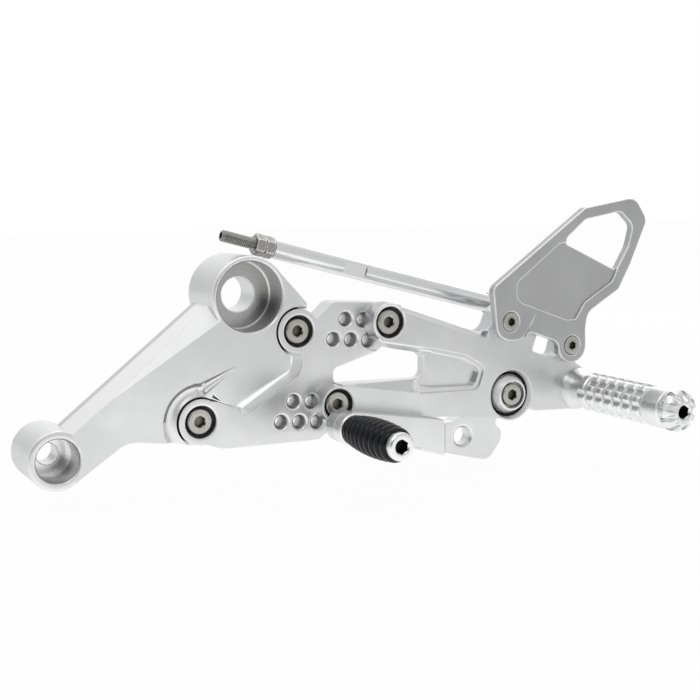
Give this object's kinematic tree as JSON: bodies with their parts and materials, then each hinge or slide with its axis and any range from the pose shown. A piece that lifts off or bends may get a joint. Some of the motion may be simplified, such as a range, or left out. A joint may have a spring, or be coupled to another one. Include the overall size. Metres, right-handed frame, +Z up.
{
  "type": "rear sets footrest",
  "caption": "Machined aluminium motorcycle rearset with frame bracket, adjuster plate, footrest carrier, knurled peg, heel guard, gear lever with rubber toe peg and a threaded shift rod.",
  "frame": {"origin": "on the axis of the upper frame bore, at the inboard seating face of its boss", "axes": "+X to the rear of the motorcycle, -Y outboard towards the rider's boot, +Z up"},
  "size_m": [0.3437, 0.13, 0.1415],
  "materials": {
    "satin_aluminium": "fine milled and silver anodised",
    "bright_aluminium": "bright turned",
    "stainless": "turned stainless steel",
    "black_rubber": "moulded, satin",
    "black_nylon": "moulded, matte"
  },
  "bodies": {
    "footrest": {"frame_bracket": "satin_aluminium", "adjuster_plate": "satin_aluminium", "peg_carrier": "satin_aluminium", "heel_guard": "satin_aluminium", "foot_peg": "bright_aluminium", "foot_peg_cap": "bright_aluminium", "foot_peg_bolt": "stainless", "adjuster_bolt_upper": "stainless", "adjuster_bolt_lower": "stainless", "carrier_bolt_upper": "stainless", "carrier_bolt_lower": "stainless", "guard_screw_front": "stainless", "guard_screw_rear": "stainless", "pivot_sleeve": "bright_aluminium", "pivot_screw": "stainless", "thrust_washer": "black_nylon", "end_washer": "stainless", "pivot_nut": "stainless"},
    "lever": {"gear_lever": "satin_aluminium", "toe_peg_core": "bright_aluminium", "toe_peg_rubber": "black_rubber", "toe_peg_screw": "bright_aluminium", "rod_end_spacer": "bright_aluminium", "rod_end_bolt": "stainless", "swivel_ball": "stainless"},
    "rod": {"shift_rod": "satin_aluminium", "rod_stud": "stainless", "lock_nut_front": "stainless", "lock_nut_rear": "stainless", "rod_end": "stainless", "rod_end_nut": "stainless"}
  },
  "joints": [
    {"name": "lever_pivot", "type": "hinge", "parent": "footrest", "child": "lever", "pos_m": [0.1472, 0, -0.058], "axis": [0, 1, 0], "range_deg": [-8, 4]},
    {"name": "rod_swivel", "type": "hinge", "parent": "lever", "child": "rod", "pos_m": [0.17, -0.015, -0.0163], "axis": [0, 1, 0], "range_deg": [-4, 8]}
  ],
  "couplings": [
    {"joint": "rod_swivel", "follows": "lever_pivot", "ratio": -0.92}
  ]
}
